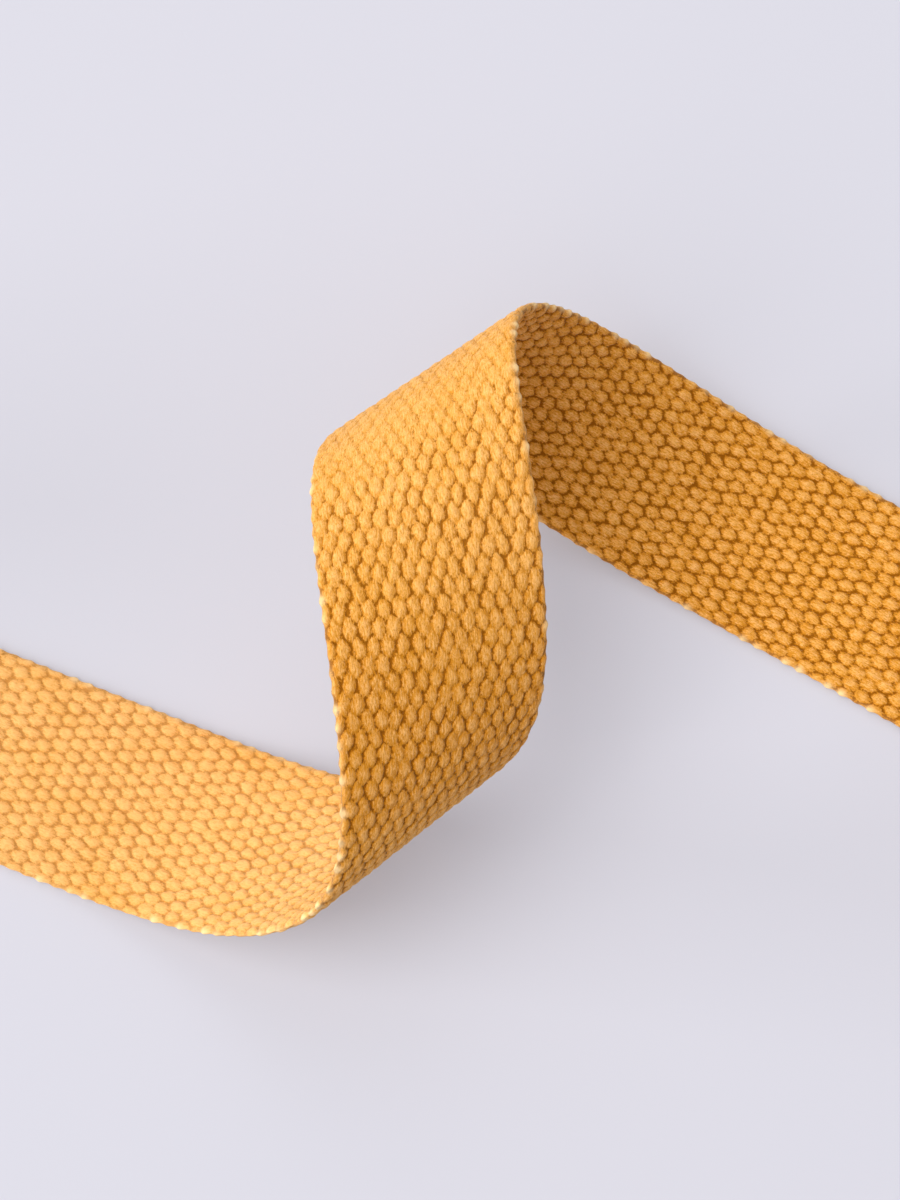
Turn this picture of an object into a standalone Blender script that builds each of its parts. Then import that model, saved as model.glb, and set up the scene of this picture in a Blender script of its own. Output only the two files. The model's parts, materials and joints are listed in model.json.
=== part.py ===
"""Martial arts belt: one length of woven webbing that stands up in a single loop.

Distances along the belt are counted from the foot of the loop, where the webbing starts to rise.
Along the belt, across the belt and out of its inner face make one right-handed frame.
"""

import math

import bmesh
import bpy
import numpy as np
from mathutils import Matrix, Vector

# The webbing.
BELT_LENGTH = 2.60
WIDTH = 0.040
THICKNESS = 0.0022
EDGE_CHAMFER = 0.0006

# The loop: where the webbing starts, which way it runs, and how it curls along its length.
FOOT = Vector((-0.00795, -0.03928, THICKNESS / 2))
HEADING = math.radians(-21.6)
# Distance along the belt in metres, and the turn there in degrees for each centimetre.
# The two turns before the last are solved so that the webbing comes down flat.
CURL = (
    (-0.042, 0.0),
    (-0.005, 12.0),
    (0.040, 10.6),
    (0.062, 17.7),
    (0.104, 11.4),
    (0.142, 19.6),
    (0.180, 12.8),
    (0.225, 7.5),
    (0.285, 0.0),
)
# Distance along the belt, and how far the bend lines lean along the belt for each metre across it.
# The lean of the last bend line is solved too.
LEAN = (
    (-0.190, 0.0),
    (-0.050, 0.573),
    (0.020, 0.573),
    (0.100, 0.601),
    (0.170, 0.452),
    (0.260, 0.627),
    (0.360, 0.0),
)
SOLVED_LEAN = 5

# The two rolls that hold the rest of the length.
LEFT_ROLL_AT = -0.200
RIGHT_ROLL_AT = 0.370
ROLL_CORE = 0.011
ROLL_PITCH = THICKNESS + 0.0004
ROLL_TURN_STEP = math.radians(15)

# Where the webbing is parted into runs, and how finely a run follows its curve.
NEAR_HINGE = 0.000
CROWN_START = 0.078
CROWN_END = 0.128
FAR_HINGE = 0.226
HINGE_GAP = 0.0010
PART_GAP = 0.0003
RUN_TURN_STEP = math.radians(6)
FLAT_STEP = 0.030

# The hem at each end: a flap folded over the inner face, held by two rows of stitching.
HEM_LENGTH = 0.022
HEM_WIDTH = 0.038
HEM_THICKNESS = 0.0016
STITCH_WIDTH = 0.0007
STITCH_ROW_LENGTH = 0.034
STITCH_ROWS = (0.005, 0.017)

# How closely the belt's curve is worked out.
SAMPLE = 0.0005
LANDING_STEP = 0.001
ROLL_LENGTH = (BELT_LENGTH - (RIGHT_ROLL_AT - LEFT_ROLL_AT)) / 2
BELT_START = LEFT_ROLL_AT - ROLL_LENGTH
BELT_END = RIGHT_ROLL_AT + ROLL_LENGTH

GOLD = (0.86, 0.46, 0.12, 1.0)
THREAD_GOLD = (0.90, 0.55, 0.18, 1.0)


def eased(stations, distance):
    """The value at a distance, easing from each station to the next."""
    first, last = stations[0], stations[-1]
    if distance <= first[0]:
        return first[1]
    if distance >= last[0]:
        return last[1]
    for (start, a), (end, b) in zip(stations, stations[1:]):
        if distance <= end:
            share = (distance - start) / (end - start)
            return a + (b - a) * share * share * (3 - 2 * share)


def roll_curl(wound):
    """Turn per metre of a flat spiral at this much length from its inner end."""
    return 1 / math.sqrt(ROLL_CORE**2 + ROLL_PITCH * max(wound, 0) / math.pi)


def curl_at(distance, stations):
    """Turn per metre of belt, in radians, towards the inner face."""
    if distance < LEFT_ROLL_AT:
        return roll_curl(distance - BELT_START)
    if distance > RIGHT_ROLL_AT:
        return roll_curl(BELT_END - distance)
    return math.radians(100 * eased(stations, distance))


def stepped(state, distance, step, curl, lean):
    """The belt's point and frame one step further along it, or back where step is negative."""
    point, along, across = state
    middle = distance + step / 2
    bend_line = across + eased(lean, middle) * along
    turn = Matrix.Rotation(-curl_at(middle, curl) * step, 3, bend_line)
    onward = turn @ along
    return point + (along + onward) * (step / 2), onward, turn @ across


def flat_start():
    """The belt's point and frame on the floor, at the first curl station."""
    along = Vector((math.cos(HEADING), math.sin(HEADING), 0))
    across = Vector((-along.y, along.x, 0))
    return FOOT + along * CURL[0][0], along, across


def landing_error(curl, lean):
    """How far from flat on the floor the webbing ends up after the loop."""
    state = flat_start()
    for i in range(round((CURL[-1][0] - CURL[0][0]) / LANDING_STEP)):
        state = stepped(state, CURL[0][0] + i * LANDING_STEP, LANDING_STEP, curl, lean)
    point, along, across = state
    face = along.cross(across)
    return np.array([face.x, face.y, (point.z - THICKNESS / 2) / WIDTH])


def with_values(turn_a, turn_b, lean_value):
    """The curl and lean stations with their three solved values in place."""
    curl = [*CURL[:-3], (CURL[-3][0], float(turn_a)), (CURL[-2][0], float(turn_b)), CURL[-1]]
    lean = list(LEAN)
    lean[SOLVED_LEAN] = (LEAN[SOLVED_LEAN][0], float(lean_value))
    return curl, lean


def landed():
    """Curl and lean stations that bring the webbing back down flat, by Newton's method."""
    values = np.array([CURL[-3][1], CURL[-2][1], LEAN[SOLVED_LEAN][1]])
    nudges = np.array([0.1, 0.1, 0.01])
    for _ in range(8):
        error = landing_error(*with_values(*values))
        if np.abs(error).max() < 1e-7:
            break
        slopes = []
        for i, nudge in enumerate(nudges):
            moved = values.copy()
            moved[i] += nudge
            slopes.append((landing_error(*with_values(*moved)) - error) / nudge)
        values = values - np.linalg.solve(np.array(slopes).T, error)
    return with_values(*values)


class Belt:
    """The belt's middle surface, sampled along its length."""

    def __init__(self):
        self.curl, self.lean = landed()
        back = self.walk(CURL[0][0], BELT_START)
        onward = self.walk(CURL[0][0], BELT_END)
        rows = back[:0:-1] + onward
        self.distance = np.array([row[0] for row in rows])
        self.frames = np.array([[*row[1], *row[2], *row[3]] for row in rows])
        turns = [abs(curl_at(d, self.curl)) for d in self.distance]
        steps = np.diff(self.distance) * (np.array(turns[1:]) + np.array(turns[:-1])) / 2
        self.turn = np.concatenate([[0], np.cumsum(steps)])

    def walk(self, start, end):
        count = math.ceil(abs(end - start) / SAMPLE)
        step = (end - start) / count
        state = flat_start()
        rows = [(start, *state)]
        for i in range(count):
            state = stepped(state, start + i * step, step, self.curl, self.lean)
            rows.append((start + (i + 1) * step, *state))
        return rows

    def frame(self, distance):
        row = [np.interp(distance, self.distance, column) for column in self.frames.T]
        return Vector(row[:3]), Vector(row[3:6]).normalized(), Vector(row[6:]).normalized()

    def place(self, distance, side, height):
        """The point this far along, across and above the middle surface, on a bend line."""
        point, along, across = self.frame(distance)
        lean = eased(self.lean, distance)
        return point + side * (across + lean * along) + height * along.cross(across)

    def turned_by(self, distance):
        return np.interp(distance, self.distance, self.turn)

    def at_turn(self, turn):
        return float(np.interp(turn, self.turn, self.distance))


def run_stations(belt, start, end):
    """Distances from start to end, close together where the webbing curls."""
    turn = belt.turned_by(end) - belt.turned_by(start)
    count = max(2, math.ceil(turn / RUN_TURN_STEP), math.ceil((end - start) / FLAT_STEP))
    weight = belt.turn + (belt.distance - belt.distance[0]) * RUN_TURN_STEP / FLAT_STEP
    low, high = np.interp((start, end), belt.distance, weight)
    return np.interp(np.linspace(low, high, count + 1), weight, belt.distance).tolist()


def roll_stations(belt, tangent, inner_end):
    """Distances at equal turns from where a roll leaves the floor to its inner end."""
    start = belt.turned_by(tangent)
    turn = belt.turned_by(inner_end) - start
    count = int(abs(turn) / ROLL_TURN_STEP)
    sign = math.copysign(ROLL_TURN_STEP, turn)
    stations = [belt.at_turn(start + i * sign) for i in range(1, count + 1)]
    return sorted([tangent, *stations, inner_end])


def webbing_section():
    """The webbing's cross-section, counter-clockwise seen against the way it runs."""
    side, half = WIDTH / 2, THICKNESS / 2
    inner, low = side - EDGE_CHAMFER, half - EDGE_CHAMFER
    return [(side, low), (inner, half), (-inner, half), (-side, low),
            (-side, -low), (-inner, -half), (inner, -half), (side, -low)]


def slab_section(width, thickness, height):
    """A rectangle whose middle lies this far above the webbing's middle surface."""
    side, low, high = width / 2, height - thickness / 2, height + thickness / 2
    return [(side, low), (side, high), (-side, high), (-side, low)]


def material(name, colour):
    made = bpy.data.materials.new(name)
    made.use_nodes = True
    shader = made.node_tree.nodes["Principled BSDF"]
    shader.inputs["Base Color"].default_value = colour
    shader.inputs["Roughness"].default_value = 0.9
    shader.inputs["Metallic"].default_value = 0.0
    return made


def swept(name, belt, stations, section, colour):
    """A closed solid: the section carried along the belt through the stations."""
    mesh = bmesh.new()
    rings = []
    for distance in stations:
        points = [belt.place(distance, side, height) for side, height in section]
        rings.append([mesh.verts.new(point) for point in points])
    corners = len(section)
    for ring, after in zip(rings, rings[1:]):
        for i in range(corners):
            j = (i + 1) % corners
            mesh.faces.new((ring[i], ring[j], after[j], after[i]))
    mesh.faces.new(rings[0][::-1])
    mesh.faces.new(rings[-1])
    bmesh.ops.recalc_face_normals(mesh, faces=mesh.faces)
    data = bpy.data.meshes.new(name)
    mesh.to_mesh(data)
    mesh.free()
    made = bpy.data.objects.new(name, data)
    bpy.context.collection.objects.link(made)
    data.materials.append(material(name, colour))
    data.shade_smooth()
    data.set_sharp_from_angle(angle=math.radians(35))
    return made


def hinge(name, belt, distance):
    """An empty on a bend line, which the webbing beyond it turns about."""
    made = bpy.data.objects.new(name, None)
    bpy.context.collection.objects.link(made)
    point, along, across = belt.frame(distance)
    bend_line = (across + eased(belt.lean, distance) * along).normalized()
    turned = bend_line.to_track_quat("-Z", "Y").to_matrix().to_4x4()
    made.matrix_world = Matrix.Translation(point) @ turned
    return made


def held_by(parent, *pieces):
    bpy.context.view_layer.update()
    for piece in pieces:
        piece.parent = parent
        piece.matrix_parent_inverse = parent.matrix_world.inverted()


def hem(side_name, belt, end, inward):
    """The folded flap at one end of the belt and its rows of stitching."""
    flap_height = THICKNESS / 2 + PART_GAP + HEM_THICKNESS / 2
    thread_height = flap_height + HEM_THICKNESS / 2 + PART_GAP + STITCH_WIDTH / 2
    flap = sorted((end, end + inward * HEM_LENGTH))
    section = slab_section(HEM_WIDTH, HEM_THICKNESS, flap_height)
    pieces = [swept(f"{side_name}_end_hem", belt, run_stations(belt, *flap), section, GOLD)]
    thread = slab_section(STITCH_ROW_LENGTH, STITCH_WIDTH, thread_height)
    for number, offset in enumerate(STITCH_ROWS, 1):
        middle = end + inward * offset
        stations = (middle - STITCH_WIDTH / 2, middle + STITCH_WIDTH / 2)
        pieces.append(swept(f"{side_name}_hem_stitch_row_{number}", belt, stations, thread, THREAD_GOLD))
    return pieces


def build():
    for old in list(bpy.data.objects):
        bpy.data.objects.remove(old, do_unlink=True)
    belt = Belt()
    section = webbing_section()

    def run(name, start, end):
        return swept(name, belt, run_stations(belt, start, end), section, GOLD)

    def roll(name, tangent, inner_end):
        return swept(name, belt, roll_stations(belt, tangent, inner_end), section, GOLD)

    half_part, half_hinge = PART_GAP / 2, HINGE_GAP / 2
    roll("left_roll", LEFT_ROLL_AT - half_part, BELT_START)
    run("left_run", LEFT_ROLL_AT + half_part, NEAR_HINGE - half_hinge)
    hem("left", belt, BELT_START, 1)

    near_hinge = hinge("near_hinge", belt, NEAR_HINGE)
    near_bend = run("near_bend", NEAR_HINGE + half_hinge, CROWN_START - half_part)
    crown = run("crown", CROWN_START + half_part, CROWN_END - half_part)
    far_bend = run("far_bend", CROWN_END + half_part, FAR_HINGE - half_hinge)
    held_by(near_hinge, near_bend, crown, far_bend)

    far_hinge = hinge("far_hinge", belt, FAR_HINGE)
    right_run = run("right_run", FAR_HINGE + half_hinge, RIGHT_ROLL_AT - half_part)
    right_roll = roll("right_roll", RIGHT_ROLL_AT + half_part, BELT_END)
    held_by(far_hinge, right_run, right_roll, *hem("right", belt, BELT_END, -1))
    held_by(near_hinge, far_hinge)
    return belt


build()
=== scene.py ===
import json
import math

import bpy
import numpy as np
from mathutils import Matrix, Vector


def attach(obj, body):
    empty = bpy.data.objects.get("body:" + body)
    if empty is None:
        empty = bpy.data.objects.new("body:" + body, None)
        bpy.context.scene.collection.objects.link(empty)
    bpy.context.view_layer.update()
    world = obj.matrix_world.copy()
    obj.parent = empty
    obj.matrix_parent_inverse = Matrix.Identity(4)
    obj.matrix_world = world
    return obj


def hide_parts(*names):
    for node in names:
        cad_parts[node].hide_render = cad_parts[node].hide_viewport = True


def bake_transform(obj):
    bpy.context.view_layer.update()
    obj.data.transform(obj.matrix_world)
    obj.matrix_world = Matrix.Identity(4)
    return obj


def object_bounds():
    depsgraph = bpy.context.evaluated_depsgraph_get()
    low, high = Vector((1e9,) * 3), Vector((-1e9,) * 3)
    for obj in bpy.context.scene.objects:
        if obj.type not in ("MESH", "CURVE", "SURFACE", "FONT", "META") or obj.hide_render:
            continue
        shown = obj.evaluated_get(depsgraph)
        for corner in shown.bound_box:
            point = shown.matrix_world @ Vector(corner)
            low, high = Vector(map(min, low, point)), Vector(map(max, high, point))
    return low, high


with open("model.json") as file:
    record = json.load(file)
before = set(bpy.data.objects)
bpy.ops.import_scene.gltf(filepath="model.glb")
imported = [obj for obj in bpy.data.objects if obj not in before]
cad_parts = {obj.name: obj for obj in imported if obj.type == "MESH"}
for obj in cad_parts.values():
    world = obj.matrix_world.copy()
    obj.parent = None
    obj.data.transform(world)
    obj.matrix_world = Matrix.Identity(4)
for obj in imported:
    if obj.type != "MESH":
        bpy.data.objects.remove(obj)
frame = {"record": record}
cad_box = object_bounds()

# The webbing, as the CAD has it.
BELT_LENGTH = 2.60
WIDTH = 0.040
THICKNESS = 0.0022
HEADING = math.radians(-21.6)
# Distance along the belt from the foot of the loop, and the turn there in degrees per centimetre.
# The two turns before the last are where the solver starts: it brings the webbing down flat.
CURL = (
    (-0.042, 0.0),
    (-0.005, 12.0),
    (0.040, 10.6),
    (0.062, 17.7),
    (0.104, 11.4),
    (0.142, 19.6),
    (0.180, 12.8),
    (0.225, 7.5),
    (0.285, 0.0),
)
# Distance along the belt, and how far the bend lines lean along it for each metre across it.
# The lean at SOLVED_LEAN is a start for the solver too.
LEAN = (
    (-0.190, 0.0),
    (-0.050, 0.573),
    (0.020, 0.573),
    (0.100, 0.601),
    (0.170, 0.452),
    (0.260, 0.627),
    (0.360, 0.0),
)
SOLVED_LEAN = 5
LEFT_ROLL_AT = -0.200
RIGHT_ROLL_AT = 0.370
ROLL_CORE = 0.011
ROLL_PITCH = THICKNESS + 0.0004
# Steps along the belt: for the curve, and for the solver.
SAMPLE = 0.0005
LANDING_STEP = 0.001
LANDING_ROUNDS = 8
LANDED_WITHIN = 1e-7
ROLL_LENGTH = (BELT_LENGTH - (RIGHT_ROLL_AT - LEFT_ROLL_AT)) / 2
BELT_START = LEFT_ROLL_AT - ROLL_LENGTH
BELT_END = RIGHT_ROLL_AT + ROLL_LENGTH
HEM_LENGTH = 0.022
HEM_THICKNESS = 0.0016
HEM_WIDTH = WIDTH * 0.955
HEM_STEP, HEM_STEP_ACROSS = 0.0009, 0.0007
# Degrees through which the hem folds round the cut end, and the steps that it takes.
HEM_FOLD_FROM, HEM_FOLD_TO, HEM_FOLD_STEPS = -78, 90, 22
STITCH_ROW_LENGTH = 0.034
# Distance of each stitch row from the belt's end.
STITCH_ROWS = (0.005, 0.017)
STITCH_PITCH = 0.0031
STITCH_RADIUS = 0.00034
STITCH_ARCH = 0.00030
STITCH_DIP = 0.00024
PART_GAP = 0.0003

# The weave: plump warp nubs, set in rows across the belt like bricks.
NUB_ROW = 0.00322
NUB_ACROSS = WIDTH / 15.25
# Each pair is for the inner and the outer face.
NUB_HALF_WIDTH = (0.00140, 0.00131)
NUB_HALF_LENGTH = (0.00202, 0.00228)
NUB_TAPER = (0.28, 0.38)
NUB_ROUND = (0.64, 0.54)
# The most a nub is out of place along and across the belt, from one side to the other, and turned.
NUB_SHIFT, NUB_SHIFT_ACROSS = 0.00026, 0.00032
NUB_TURN = 0.16
# How far the warps and the rows waver.
WAVER, WAVER_ACROSS = 0.00010, 0.00009
# Share of the relief that is loose fibre, and how far a row leans for each metre across.
FLUFF = 0.28
COARSE_FLUFF, COARSE_FLUFF_ACROSS = 0.0011, 0.00045
FINE_FLUFF, FINE_FLUFF_ACROSS = 0.0006, 0.0004
WEFT_SKEW = 0.040
# Height of each face: under the nubs, and of the nubs themselves.
CORE = 0.00030
RELIEF = 0.00082
SELVEDGE = 0.0010
EDGE_BAND = 2.2 * SELVEDGE
WEFT_BULGE = 0.00030
WEFT_PULL = 0.00010
WEFT_BULGE_LENGTH = 0.00085
# Where a painted highlight makes the loop's outer face paler along its folds, and where its nubs
# are pulled flat.
HIGHLIT_FOLDS = (0.049, 0.159)
FOLD_HIGHLIGHT_REACH = 0.006
CREST = 0.146
CREST_REACH = 0.018
CREST_HEIGHT = 0.84
CREST_FLATNESS = 0.50


# ------------------------------------------------------------------ the belt's curve

def eased(stations, distance):
    """Values at these distances, easing from each station to the next."""
    places = np.array([s[0] for s in stations])
    values = np.array([s[1] for s in stations])
    held = np.clip(distance, places[0], places[-1])
    i = np.clip(np.searchsorted(places, held, side="right") - 1, 0, len(places) - 2)
    share = (held - places[i]) / (places[i + 1] - places[i])
    return values[i] + (values[i + 1] - values[i]) * share * share * (3 - 2 * share)


def roll_curl(wound):
    """Turn per metre in a roll, with this length already wound on its core."""
    return 1 / math.sqrt(ROLL_CORE**2 + ROLL_PITCH * max(wound, 0) / math.pi)


def curl_at(distance, curl):
    """Turn per metre of belt, in radians, towards the inner face."""
    if distance < LEFT_ROLL_AT:
        return roll_curl(distance - BELT_START)
    if distance > RIGHT_ROLL_AT:
        return roll_curl(BELT_END - distance)
    return math.radians(100 * float(eased(curl, distance)))


def stepped(state, distance, step, curl, lean):
    """The belt's point and frame one step further along it, or back where step is negative."""
    point, along, across = state
    middle = distance + step / 2
    bend_line = across + float(eased(lean, middle)) * along
    turn = Matrix.Rotation(-curl_at(middle, curl) * step, 3, bend_line)
    onward = turn @ along
    return point + (along + onward) * (step / 2), onward, turn @ across


def flat_start():
    """A point and frame flat on the floor, at the first curl station."""
    along = Vector((math.cos(HEADING), math.sin(HEADING), 0))
    return Vector((0, 0, 0)), along, Vector((-along.y, along.x, 0))


def landing_error(curl, lean):
    """How far from flat on the floor the webbing ends up after the loop."""
    state = flat_start()
    for i in range(round((CURL[-1][0] - CURL[0][0]) / LANDING_STEP)):
        state = stepped(state, CURL[0][0] + i * LANDING_STEP, LANDING_STEP, curl, lean)
    point, along, across = state
    face = along.cross(across)
    return np.array([face.x, face.y, point.z / WIDTH])


def with_values(turn_a, turn_b, lean_value):
    """The curl and lean stations with their three solved values in place."""
    curl = [*CURL[:-3], (CURL[-3][0], float(turn_a)), (CURL[-2][0], float(turn_b)), CURL[-1]]
    lean = list(LEAN)
    lean[SOLVED_LEAN] = (LEAN[SOLVED_LEAN][0], float(lean_value))
    return curl, lean


def landed():
    """Curl and lean stations that bring the webbing back down flat, by Newton's method."""
    values = np.array([CURL[-3][1], CURL[-2][1], LEAN[SOLVED_LEAN][1]])
    nudges = np.array([0.1, 0.1, 0.01])
    for _ in range(LANDING_ROUNDS):
        error = landing_error(*with_values(*values))
        if np.abs(error).max() < LANDED_WITHIN:
            break
        slopes = []
        for i, nudge in enumerate(nudges):
            moved = values.copy()
            moved[i] += nudge
            slopes.append((landing_error(*with_values(*moved)) - error) / nudge)
        values = values - np.linalg.solve(np.array(slopes).T, error)
    return with_values(*values)


BELT_CURL, BELT_LEAN = landed()


def walked(start, end):
    """Rows of distance, point, along and across from the flat part before the loop."""
    state = flat_start()
    rows = [(start, *state[0], *state[1], *state[2])]
    count = math.ceil(abs(end - start) / SAMPLE)
    step = (end - start) / count
    for i in range(count):
        state = stepped(state, start + i * step, step, BELT_CURL, BELT_LEAN)
        rows.append((start + (i + 1) * step, *state[0], *state[1], *state[2]))
    return rows


JOINTS = {j["name"]: j for j in frame["record"]["behaviour"]["joints"]}
NEAR = Vector(JOINTS["near_bend_flex"]["pos_m"])
CURVE = np.array(walked(CURL[0][0], BELT_START)[:0:-1] + walked(CURL[0][0], BELT_END))
for axis in range(3):
    CURVE[:, 1 + axis] += NEAR[axis] - np.interp(0.0, CURVE[:, 0], CURVE[:, 1 + axis])


def unit(rows):
    """The rows as unit vectors."""
    return rows / np.linalg.norm(rows, axis=1, keepdims=True)


def belt_frames(distance):
    """Points, and the unit directions along, across and out of the inner face."""
    columns = np.stack([np.interp(distance, CURVE[:, 0], c) for c in CURVE.T[1:]], 1)
    along, across = unit(columns[:, 3:6]), unit(columns[:, 6:9])
    return columns[:, :3], along, across, np.cross(along, across)


# ------------------------------------------------------------------ the weave's relief

def chance(a, b, salt):
    """A steady pseudo-random number from 0 to 1 for each pair of whole numbers."""
    scrambled = np.sin(a * 127.1 + b * 311.7 + salt * 74.7) * 43758.5453
    return scrambled - np.floor(scrambled)


def grain(along, across, salt):
    """Smooth random relief from 0 to 1, in cells one unit long and wide."""
    a, b = np.floor(along), np.floor(across)
    p, q = along - a, across - b
    p, q = p * p * (3 - 2 * p), q * q * (3 - 2 * q)
    near = chance(a, b, salt) * (1 - p) + chance(a + 1, b, salt) * p
    far = chance(a, b + 1, salt) * (1 - p) + chance(a + 1, b + 1, salt) * p
    return near * (1 - q) + far * q


def nubs(along, across, face):
    """Height of the warp nubs from 0 to 1, and a tone from 0 to 1 for each nub."""
    along = along + WAVER * np.sin(2300 * across + 510 * along + face)
    across = across + WAVER_ACROSS * np.sin(1900 * along + 800 * across + 2 * face)
    run = (along + WEFT_SKEW * across) / NUB_ROW
    best = np.zeros_like(run)
    tone = np.full_like(run, 0.5)
    for row in (np.floor(run), np.floor(run) + 1):
        set_off = 0.5 * np.mod(row + face, 2)
        column = across / NUB_ACROSS - set_off
        for place in (np.floor(column), np.floor(column) + 1):
            width = NUB_HALF_WIDTH[face] * (0.93 + 0.14 * chance(row, place, 1 + face))
            length = NUB_HALF_LENGTH[face] * (0.92 + 0.16 * chance(row, place, 3 + face))
            shift = NUB_SHIFT * (chance(row, place, 5 + face) - 0.5)
            shift_across = NUB_SHIFT_ACROSS * (chance(row, place, 7 + face) - 0.5)
            y = (run - row) * NUB_ROW - shift
            x = (column - place) * NUB_ACROSS - shift_across
            x = x - NUB_TURN * y * (chance(row, place, 9 + face) - 0.5)
            taper = 1 - NUB_TAPER[face] * np.minimum(np.abs(y) / length, 1) ** 2
            away = (x / (width * taper)) ** 2 + (np.abs(y) / length) ** 2.2
            plump = 0.84 + 0.18 * chance(row, place, 11 + face)
            dome = plump * np.maximum(1 - away, 0) ** NUB_ROUND[face]
            higher = dome > best
            best = np.where(higher, dome, best)
            tone = np.where(higher, chance(row, place, 13 + face), tone)
    coarse = grain(along / COARSE_FLUFF, across / COARSE_FLUFF_ACROSS, 31 + face)
    fine = grain(along / FINE_FLUFF, across / FINE_FLUFF_ACROSS, 37 + face)
    fluff = 0.6 * coarse + 0.4 * fine
    return np.clip(best * (1 - FLUFF) + FLUFF * fluff, 0, 1), tone


def section_sides(step):
    """Places across the belt and the share of full height at each, rounded at the selvedges."""
    flat = WIDTH / 2 - SELVEDGE
    count = max(2, round(2 * flat / step))
    turns = np.radians([22.5, 45.0, 67.5, 90.0])
    middle = np.linspace(flat, -flat, count + 1)
    left = flat + SELVEDGE * np.sin(turns[::-1])
    sides = np.concatenate([left, middle, -left[::-1]])
    share = np.concatenate([np.cos(turns[::-1]), np.ones(count + 1), np.cos(turns)])
    share[0] = share[-1] = 0
    return sides, share


def woven_strip(name, centre, across, out, distance, lean, step, width=WIDTH, thin=1.0):
    """A closed woven strip: relief on both faces, rounded selvedges and closed ends."""
    sides, share = section_sides(step)
    sides = sides * width / WIDTH
    m = len(sides) - 1
    v = np.concatenate([sides, sides[m - 1:0:-1]])
    s = np.concatenate([share, share[m - 1:0:-1]])
    face = np.concatenate([np.ones(m + 1), -np.ones(m - 1)])
    v, s, face = v[None, :], s[None, :], face[None, :]
    u = distance[:, None] + lean[:, None] * v
    top, tone_top = nubs(u, v, 0)
    low, tone_low = nubs(u, v, 1)
    rise = np.where(face > 0, top, low)
    tone = np.where(face > 0, tone_top, tone_low)
    bend = distance[:, None]
    flattened = CREST_FLATNESS * np.exp(-(((bend - CREST) / CREST_REACH) ** 2)) * (face < 0)
    rise = rise + (CREST_HEIGHT - rise) * flattened
    # A painted highlight along the folds of the outer face.
    fold_highlight = sum(np.exp(-(((bend - fold) / FOLD_HIGHLIGHT_REACH) ** 2)) for fold in HIGHLIT_FOLDS) * (face < 0)
    # The weft turns back round the outermost warp once a row, as a small bulge.
    row = np.round(u / NUB_ROW)
    turn = np.exp(-(((u - row * NUB_ROW) / WEFT_BULGE_LENGTH) ** 2))
    near_edge = np.clip((np.abs(v) - width / 2 + EDGE_BAND) / EDGE_BAND, 0, 1) ** 2
    lot = chance(row, np.sign(v), 21)
    bulge = near_edge * (WEFT_BULGE * turn * (0.4 + lot) - WEFT_PULL)
    across_by = v + np.sign(v) * bulge
    height = face * s * thin * (CORE + RELIEF * rise) * (1 - 0.16 * near_edge)
    points = (centre[:, None, :] + across_by[..., None] * across[:, None, :]
              + height[..., None] * out[:, None, :])
    # Pale weft at the selvedges, and a painted highlight on the nub tops along the crown's fold.
    pale = near_edge * (0.22 + 0.78 * turn * np.clip((lot - 0.42) * 1.9, 0, 1))
    pale = np.maximum(pale, 0.30 * fold_highlight**5 * (bend > CREST) * rise)
    gap = 1 - rise * (1 - 0.25 * near_edge)
    made = grid_mesh(name, points, m)
    put(made, "gap", np.broadcast_to(gap, u.shape))
    put(made, "tone", np.broadcast_to(tone, u.shape))
    put(made, "pale", np.broadcast_to(pale, u.shape))
    put(made, "fold_highlight", np.broadcast_to(fold_highlight, u.shape))
    # The two faces are read 0.1 m apart in the noise, so that they don't match.
    place = np.stack([u, np.broadcast_to(v, u.shape), np.broadcast_to(face * 0.05, u.shape)], -1)
    put_place(made, place)
    return made


def put(made, name, values):
    """Keep one number for each point, for the material to read."""
    attribute = made.data.attributes.new(name, "FLOAT", "POINT")
    attribute.data.foreach_set("value", values.astype(np.float32).ravel())


def put_place(made, places):
    """Keep each point's place on the flat webbing or thread, for the noise."""
    attribute = made.data.attributes.new("place", "FLOAT_VECTOR", "POINT")
    attribute.data.foreach_set("vector", places.astype(np.float32).ravel())


def grid_mesh(name, points, m):
    """Rings of points joined by quads, with each end closed face to face."""
    rings, corners = points.shape[:2]
    index = np.arange(rings * corners).reshape(rings, corners)
    onward = np.roll(index, -1, axis=1)
    walls = np.stack([index[:-1], onward[:-1], onward[1:], index[1:]], -1).reshape(-1, 4)
    opposite = (corners - np.arange(m + 1)) % corners
    k = np.arange(m)
    caps = []
    for ring, order in ((0, -1), (rings - 1, 1)):
        quad = np.stack([index[ring][k], index[ring][opposite[k]],
                         index[ring][opposite[k + 1]], index[ring][k + 1]], -1)
        caps.append(quad[:, ::order])
    faces = [list(dict.fromkeys(q)) for q in np.concatenate(caps).tolist()]
    flat = np.concatenate([walls.ravel(), np.array([c for f in faces for c in f])])
    sizes = np.concatenate([np.full(len(walls), 4), [len(f) for f in faces]])
    return mesh_object(name, points.reshape(-1, 3), flat, sizes, corners)


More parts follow.
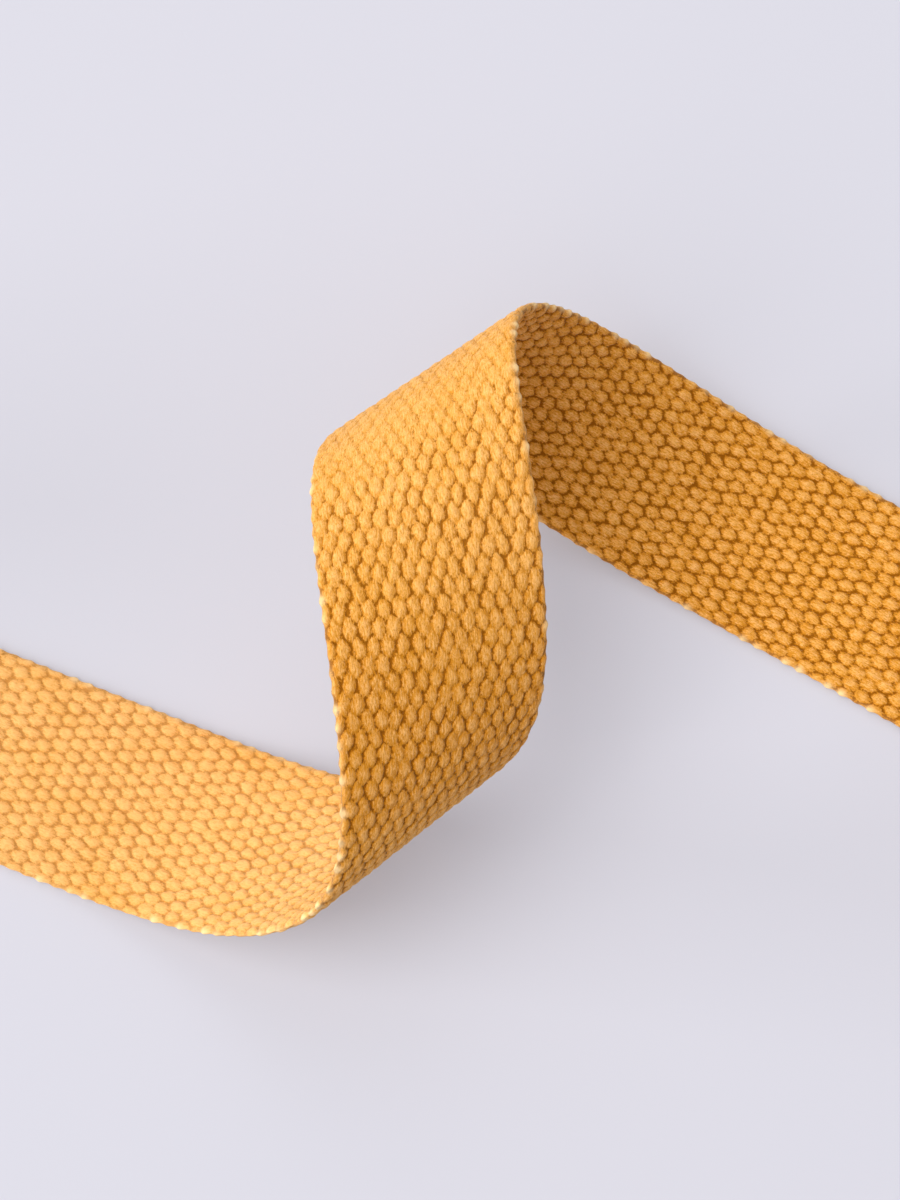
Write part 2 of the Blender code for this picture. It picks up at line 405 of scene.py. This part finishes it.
def mesh_object(name, points, corners, sizes, end_ring=0):
    """A smooth closed mesh, with crisp edges round its first and last end_ring points."""
    a = points[corners]
    starts = np.concatenate([[0], np.cumsum(sizes)[:-1]])
    first, second, third = a[starts], a[starts + 1], a[starts + 2]
    if np.einsum("ij,ij->i", first, np.cross(second, third)).sum() < 0:
        corners = np.concatenate([c[::-1] for c in np.split(corners, starts[1:])])
    data = bpy.data.meshes.new(name)
    data.vertices.add(len(points))
    data.vertices.foreach_set("co", points.astype(np.float32).ravel())
    data.loops.add(len(corners))
    data.loops.foreach_set("vertex_index", corners.astype(np.int32))
    data.polygons.add(len(sizes))
    data.polygons.foreach_set("loop_start", starts.astype(np.int32))
    data.update(calc_edges=True)
    data.validate()
    data.shade_smooth()
    if end_ring:
        ends = np.zeros(len(data.edges) * 2, np.int32)
        data.edges.foreach_get("vertices", ends)
        ends = ends.reshape(-1, 2)
        sharp = (ends < end_ring).all(1) | (ends >= len(points) - end_ring).all(1)
        mark = data.attributes.new("sharp_edge", "BOOLEAN", "EDGE")
        mark.data.foreach_set("value", sharp)
    made = bpy.data.objects.new(name, data)
    bpy.context.collection.objects.link(made)
    return made


# ------------------------------------------------------------------ materials

def nodes_of(name):
    """A new material, its node tree and its shader."""
    made = bpy.data.materials.new(name)
    made.use_nodes = True
    tree = made.node_tree
    return made, tree, tree.nodes["Principled BSDF"]


def add(tree, kind, **settings):
    """A new node, with its own settings and, after in_, its inputs."""
    node = tree.nodes.new(kind)
    for key, value in settings.items():
        if key.startswith("in_"):
            node.inputs[key[3:].replace("_", " ")].default_value = value
        else:
            setattr(node, key, value)
    return node


def ramp(tree, fac, low, high, start, end):
    """A smooth step of a value, from low to high between start and end."""
    node = add(tree, "ShaderNodeMapRange", interpolation_type="SMOOTHSTEP")
    for key, value in (("From Min", start), ("From Max", end), ("To Min", low), ("To Max", high)):
        node.inputs[key].default_value = value
    tree.links.new(fac, node.inputs["Value"])
    return node.outputs["Result"]


def mixed(tree, fac, a, b):
    """Colour a, with colour b laid over it by fac."""
    node = add(tree, "ShaderNodeMix", data_type="RGBA", blend_type="MIX")
    sockets = {"Factor": node.inputs[0], "A": node.inputs[6], "B": node.inputs[7]}
    for key, value in (("Factor", fac), ("A", a), ("B", b)):
        if isinstance(value, (float, int, tuple)):
            sockets[key].default_value = value
        else:
            tree.links.new(value, sockets[key])
    return node.outputs[2]


def maths(tree, operation, *values):
    """One arithmetic step on sockets and numbers."""
    node = add(tree, "ShaderNodeMath", operation=operation)
    for socket, value in zip(node.inputs, values):
        if isinstance(value, float):
            socket.default_value = value
        else:
            tree.links.new(value, socket)
    return node.outputs[0]


def read(tree, name, output="Fac"):
    """What the mesh keeps under this name."""
    return add(tree, "ShaderNodeAttribute", attribute_name=name).outputs[output]


def noise(tree, vector, stretch, detail=2.0, roughness=0.5):
    """Noise over the belt's own length and width, with its grain stretched along it."""
    scaled = add(tree, "ShaderNodeVectorMath", operation="MULTIPLY")
    scaled.inputs[1].default_value = stretch
    tree.links.new(vector, scaled.inputs[0])
    made = add(tree, "ShaderNodeTexNoise", in_Scale=1.0, in_Detail=detail, in_Roughness=roughness)
    tree.links.new(scaled.outputs[0], made.inputs["Vector"])
    return made.outputs["Fac"]


# Cream for the pale weft at the selvedges and for the painted highlight along the crown's fold.
CREAM_WEFT_AND_HIGHLIGHT = (1.0, 0.70, 0.34, 1.0)


def cotton(name, plump, light, crack_shade, pale_highlight, shade, fibre_and_top_highlight):
    """Dyed cotton webbing: fibrous nubs, uneven dye and pale weft at the selvedges, with painted
    highlights on the nub tops, left run, crown and folds, and painted shade in the deep gaps and
    on the lower panel.
    """
    made, tree, shader = nodes_of(name)
    place = read(tree, "place", "Vector")
    gap, tone, pale = read(tree, "gap"), read(tree, "tone"), read(tree, "pale")
    along = add(tree, "ShaderNodeSeparateXYZ")
    tree.links.new(place, along.inputs[0])
    far = along.outputs["X"]
    colour = mixed(tree, ramp(tree, tone, 0.0, 1.0, 0.0, 1.0), plump, light)
    # Painted highlight: all of the left run and some of the crown made paler, and the folds too.
    foot = ramp(tree, far, 1.0, 0.0, 0.020, 0.058)
    crown = ramp(tree, far, 0.0, 0.36, 0.080, 0.125)
    after = ramp(tree, far, 1.0, 0.0, 0.130, 0.190)
    painted_highlight_here = maths(tree, "MULTIPLY", maths(tree, "ADD", foot, crown), after)
    fold_highlight = maths(tree, "MULTIPLY", read(tree, "fold_highlight"), 0.45)
    painted_highlight_here = maths(tree, "MAXIMUM", painted_highlight_here, fold_highlight)
    colour = mixed(tree, painted_highlight_here, colour, pale_highlight)
    # Painted shade on the lower part of the standing panel.
    lower_panel_shade_from = ramp(tree, far, 0.0, 0.66, 0.056, 0.068)
    lower_panel_shade_to = ramp(tree, far, 1.0, 0.0, 0.080, 0.110)
    lower_panel_shade = maths(tree, "MULTIPLY", lower_panel_shade_from, lower_panel_shade_to)
    colour = mixed(tree, lower_panel_shade, colour, shade)
    # Fibres, darker and lighter. Their dark streaks and the painted shade below show less where
    # the painted highlight pales the webbing.
    fibres = noise(tree, place, (900.0, 3300.0, 40.0), 4.0, 0.70)
    fuzz = noise(tree, place, (1700.0, 2600.0, 40.0), 3.0, 0.60)
    streak_and_shade_strength = ramp(tree, painted_highlight_here, 1.0, 0.42, 0.0, 1.0)
    streaks = maths(tree, "MULTIPLY", streak_and_shade_strength, ramp(tree, fibres, 0.90, 0.0, 0.37, 0.55))
    colour = mixed(tree, streaks, colour, shade)
    colour = mixed(tree, ramp(tree, fibres, 0.0, 0.80, 0.48, 0.64), colour, fibre_and_top_highlight)
    dye = noise(tree, place, (60.0, 90.0, 20.0), 2.0)
    colour = mixed(tree, ramp(tree, dye, 0.0, 0.30, 0.45, 0.75), colour, plump)
    # Painted highlight on the nub tops, and painted shade on the nub edges and in the cracks
    # between nubs, with borders frayed by the fuzz.
    depth = maths(tree, "MULTIPLY_ADD", fuzz, 1.3, gap)
    colour = mixed(tree, ramp(tree, depth, 0.60, 0.0, 0.66, 1.02), colour, fibre_and_top_highlight)
    edges = maths(tree, "MULTIPLY", streak_and_shade_strength, ramp(tree, depth, 0.0, 0.66, 0.94, 1.28))
    colour = mixed(tree, edges, colour, shade)
    crack_shading = maths(tree, "MULTIPLY", streak_and_shade_strength, ramp(tree, depth, 0.0, 1.0, 1.16, 1.41))
    colour = mixed(tree, crack_shading, colour, crack_shade)
    # Dark flecks: dark fibres, and painted shade in small pits.
    flecks_and_pit_shade = maths(tree, "MULTIPLY", streak_and_shade_strength, ramp(tree, fuzz, 0.85, 0.0, 0.34, 0.45))
    colour = mixed(tree, flecks_and_pit_shade, colour, shade)
    # Cream weft at the selvedges, and the painted highlight along the crown's fold.
    colour = mixed(tree, ramp(tree, pale, 0.0, 0.85, 0.04, 0.70), colour, CREAM_WEFT_AND_HIGHLIGHT)
    tree.links.new(colour, shader.inputs["Base Color"])
    shader.inputs["Roughness"].default_value = 0.88
    shader.inputs["Specular IOR Level"].default_value = 0.06
    shader.inputs["Sheen Weight"].default_value = 0.60
    shader.inputs["Sheen Roughness"].default_value = 0.20
    shader.inputs["Sheen Tint"].default_value = (1.0, 0.80, 0.50, 1.0)
    bump = add(tree, "ShaderNodeBump", in_Strength=1.0, in_Distance=0.00036)
    tree.links.new(fibres, bump.inputs["Height"])
    tree.links.new(bump.outputs["Normal"], shader.inputs["Normal"])
    return made


def thread_material():
    """Sewing thread: a tight twist, slightly glossier than the webbing."""
    made, tree, shader = nodes_of("sewing_thread")
    place = read(tree, "place", "Vector")
    twist = add(tree, "ShaderNodeTexWave", bands_direction="DIAGONAL",
                in_Scale=0.6, in_Distortion=0.6)
    scaled = add(tree, "ShaderNodeVectorMath", operation="MULTIPLY")
    scaled.inputs[1].default_value = (2600.0, 2600.0, 2600.0)
    tree.links.new(place, scaled.inputs[0])
    tree.links.new(scaled.outputs[0], twist.inputs["Vector"])
    colour = mixed(tree, twist.outputs["Fac"], (0.62, 0.30, 0.07, 1.0), (0.88, 0.50, 0.17, 1.0))
    tree.links.new(colour, shader.inputs["Base Color"])
    shader.inputs["Roughness"].default_value = 0.62
    shader.inputs["Sheen Weight"].default_value = 0.15
    bump = add(tree, "ShaderNodeBump", in_Strength=0.5, in_Distance=0.00008)
    tree.links.new(twist.outputs["Fac"], bump.inputs["Height"])
    tree.links.new(bump.outputs["Normal"], shader.inputs["Normal"])
    return made


COTTON = cotton("webbing_cotton", plump=(0.80, 0.345, 0.036, 1.0), light=(0.90, 0.410, 0.058, 1.0),
                crack_shade=(0.33, 0.104, 0.003, 1.0), pale_highlight=(1.0, 0.530, 0.172, 1.0),
                shade=(0.62, 0.225, 0.010, 1.0), fibre_and_top_highlight=(1.0, 0.562, 0.200, 1.0))
THREAD = thread_material()


# ------------------------------------------------------------------ the webbing

def spread(start, end, step):
    """Even places from start to end, no further apart than step."""
    return np.linspace(start, end, max(2, math.ceil((end - start) / step)) + 1)


def webbing(name, start, end, step_along, step_across):
    """One stretch of the belt, with its bend lines leaning as the curve's do."""
    distance = spread(start, end, step_along)
    centre, along, across, out = belt_frames(distance)
    lean = eased(BELT_LEAN, distance)
    bend_line = across + lean[:, None] * along
    made = woven_strip(name, centre, bend_line, out, distance, lean, step_across)
    made.data.materials.append(COTTON)
    return made


# Where one piece ends and the next starts, and how finely each is meshed along and across.
OUTER_TURN = 0.190
LEFT_OUTER = LEFT_ROLL_AT - OUTER_TURN
RISE_START = -0.045
MID_CROWN = 0.103
LANDED_AT = 0.262
RIGHT_OUTER = RIGHT_ROLL_AT + OUTER_TURN
FINE = (0.00034, 0.00022)
MIDDLING = (0.00060, 0.00050)
COARSE = (0.00107, 0.00080)
PIECES = (
    ("webbing_left_coil", BELT_START, LEFT_OUTER, *COARSE),
    ("webbing_left_outer_turn", LEFT_OUTER, LEFT_ROLL_AT, *MIDDLING),
    ("webbing_left_run", LEFT_ROLL_AT, RISE_START, *FINE),
    ("webbing_near_bend", RISE_START, MID_CROWN, *FINE),
    ("webbing_far_bend", MID_CROWN, LANDED_AT, *FINE),
    ("webbing_right_run", LANDED_AT, RIGHT_ROLL_AT, *FINE),
    ("webbing_right_outer_turn", RIGHT_ROLL_AT, RIGHT_OUTER, *MIDDLING),
    ("webbing_right_coil", RIGHT_OUTER, BELT_END, *COARSE),
)
belt = {p[0]: webbing(*p) for p in PIECES}


# ------------------------------------------------------------------ the hems and their stitching

def hem(name, end, inward):
    """A flap that folds round the belt's end and back over the inner face."""
    outward = -inward
    half_fold = THICKNESS / 2 + PART_GAP / 2
    turns = np.radians(np.linspace(HEM_FOLD_FROM, HEM_FOLD_TO, HEM_FOLD_STEPS))
    flap = spread(0.0, HEM_LENGTH, HEM_STEP)[1:]
    point, along, across, out = belt_frames(np.array([end]))
    centre, normal, path = [], [], []
    for turn in turns:
        away = outward * along[0] * math.cos(turn) + out[0] * math.sin(turn)
        centre.append(point[0] + out[0] * half_fold + away * half_fold)
        normal.append(away)
        path.append(half_fold * (turn - turns[-1]))
    points, _, _, outs = belt_frames(end + inward * flap)
    for p, o, d in zip(points, outs, flap):
        centre.append(p + o * (2 * half_fold))
        normal.append(o)
        path.append(d)
    count = len(centre)
    distance = end - outward * np.array(path)
    cross = np.repeat(across, count, axis=0)
    made = woven_strip(name, np.array(centre), cross, np.array(normal), distance,
                       np.zeros(count), HEM_STEP_ACROSS, HEM_WIDTH, HEM_THICKNESS / THICKNESS)
    made.data.materials.append(COTTON)
    return made


def stitch_row(name, middle):
    """A row of lock stitches across the hem: short plump twisted arcs that dip at both ends."""
    point, along, across, out = [x[0] for x in belt_frames(np.array([middle]))]
    top = THICKNESS / 2 + PART_GAP + HEM_THICKNESS + 0.00002
    count = int(STITCH_ROW_LENGTH / STITCH_PITCH)
    length, rings, sides = STITCH_PITCH * 0.84, 17, 10
    points, corners, sizes, places = [], [], [], []
    for i in range(count):
        side = (i - (count - 1) / 2) * STITCH_PITCH
        base = len(points)
        for r in range(rings):
            share = r / (rings - 1)
            swell = math.sin(math.pi * share) ** 0.35 if 0 < share < 1 else 0.12
            y = side + (share - 0.5) * length
            z = top + STITCH_ARCH * math.sin(math.pi * share) - STITCH_DIP
            x = 0.00010 * math.sin(2 * math.pi * share + i)
            for k in range(sides):
                turn = 2 * math.pi * k / sides + share * 5.0
                strands = 1 + 0.16 * math.cos(2 * (turn - share * 11.0))
                radius = STITCH_RADIUS * swell * strands
                points.append(point + across * y + along * (x + radius * math.cos(turn))
                              + out * (z + radius * math.sin(turn)))
                places.append((y, radius * turn + i * 0.01, share * 0.002))
        for r in range(rings - 1):
            for k in range(sides):
                a, b = base + r * sides + k, base + r * sides + (k + 1) % sides
                corners += [a, b, b + sides, a + sides]
                sizes.append(4)
        for first, order in ((base, -1), (base + (rings - 1) * sides, 1)):
            corners += list(range(first, first + sides))[::order]
            sizes.append(sides)
    made = mesh_object(name, np.array(points), np.array(corners), np.array(sizes))
    put_place(made, np.array(places))
    made.data.materials.append(THREAD)
    return made


trim = {}
for side_name, end, inward in (("left", BELT_START, 1), ("right", BELT_END, -1)):
    trim[side_name] = [hem(f"{side_name}_end_hem_folded", end, inward)]
    for number, offset in enumerate(STITCH_ROWS, 1):
        row_name = f"{side_name}_hem_stitches_{number}"
        trim[side_name].append(stitch_row(row_name, end + inward * offset))


# ------------------------------------------------------------------ bodies


for name in ("webbing_left_coil", "webbing_left_outer_turn", "webbing_left_run"):
    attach(belt[name], "left_end")
for name in ("webbing_right_run", "webbing_right_outer_turn", "webbing_right_coil"):
    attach(belt[name], "right_end")
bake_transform(belt["webbing_near_bend"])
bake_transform(belt["webbing_far_bend"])
for side_name in ("left", "right"):
    for piece in trim[side_name]:
        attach(piece, side_name + "_end")
    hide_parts(side_name + "_end_hem")
    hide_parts(side_name + "_hem_stitch_row_1")
    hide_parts(side_name + "_hem_stitch_row_2")

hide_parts("left_roll")
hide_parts("left_run")
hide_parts("near_bend", "crown")
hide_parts("far_bend")
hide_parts("right_run")
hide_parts("right_roll")


# ------------------------------------------------------------------ floor, light and camera

# The floor ends on the left before the low lamp, which would light it brightly from close by.
FLOOR_LEFT, FLOOR_REACH = -2.6, 6.0
FLOOR_DROP = 0.00005


def floor():
    """A plain pale sheet of paper, just under the belt."""
    data = bpy.data.meshes.new("floor")
    left, reach = FLOOR_LEFT, FLOOR_REACH
    data.from_pydata([(left, -reach, 0), (reach, -reach, 0), (reach, reach, 0), (left, reach, 0)],
                     [], [(0, 1, 2, 3)])
    made = bpy.data.objects.new("floor", data)
    bpy.context.collection.objects.link(made)
    finish, tree, shader = nodes_of("pale_paper")
    shader.inputs["Base Color"].default_value = (0.414, 0.410, 0.448, 1.0)
    shader.inputs["Emission Color"].default_value = (0.200, 0.198, 0.216, 1.0)
    shader.inputs["Emission Strength"].default_value = 1.0
    shader.inputs["Roughness"].default_value = 0.95
    shader.inputs["Specular IOR Level"].default_value = 0.0
    data.materials.append(finish)
    made.location.z = cad_box[0][2] - FLOOR_DROP


def area_light(name, place, size, power):
    """A square lamp that faces the loop and is not itself seen."""
    data = bpy.data.lights.new(name, "AREA")
    data.shape, data.size, data.energy = "SQUARE", size, power
    made = bpy.data.objects.new(name, data)
    bpy.context.collection.objects.link(made)
    made.location = place
    made.rotation_euler = Vector(place).to_track_quat("Z", "Y").to_euler()
    made.visible_camera = False


floor()
area_light("key", (-1.231, 0.0, 3.383), 2.0, 66.5)
area_light("low_side", (-5.380, 0.0, 1.143), 2.1, 198)
area_light("front_fill", (-1.636, -1.636, 2.758), 2.0, 28)
area_light("back_fill", (0.0, 2.314, 2.758), 2.0, 19)

world = bpy.data.worlds.new("studio")
world.use_nodes = True
background = world.node_tree.nodes["Background"]
background.inputs["Color"].default_value = (0.985, 0.985, 1.04, 1.0)
background.inputs["Strength"].default_value = 0.52
bpy.context.scene.world = world
bpy.context.scene.view_settings.view_transform = "Standard"
bpy.context.scene.view_settings.look = "None"

# The camera looks down on the loop from a little in front of it.
ELEVATION = math.radians(77.935)
TARGET = Vector((0.0328, 0.01223, 0.0))
DISTANCE = 0.58696
FOCAL_LENGTH, SENSOR = 87.07, 36.0
lens = bpy.data.cameras.new("camera")
lens.lens, lens.sensor_width, lens.sensor_fit = FOCAL_LENGTH, SENSOR, "AUTO"
lens.clip_start, lens.clip_end = 0.01, 50
camera = bpy.data.objects.new("camera", lens)
bpy.context.collection.objects.link(camera)
camera.location = TARGET + DISTANCE * Vector((0, -math.cos(ELEVATION), math.sin(ELEVATION)))
camera.rotation_euler = (math.pi / 2 - ELEVATION, 0, 0)
bpy.context.scene.camera = camera
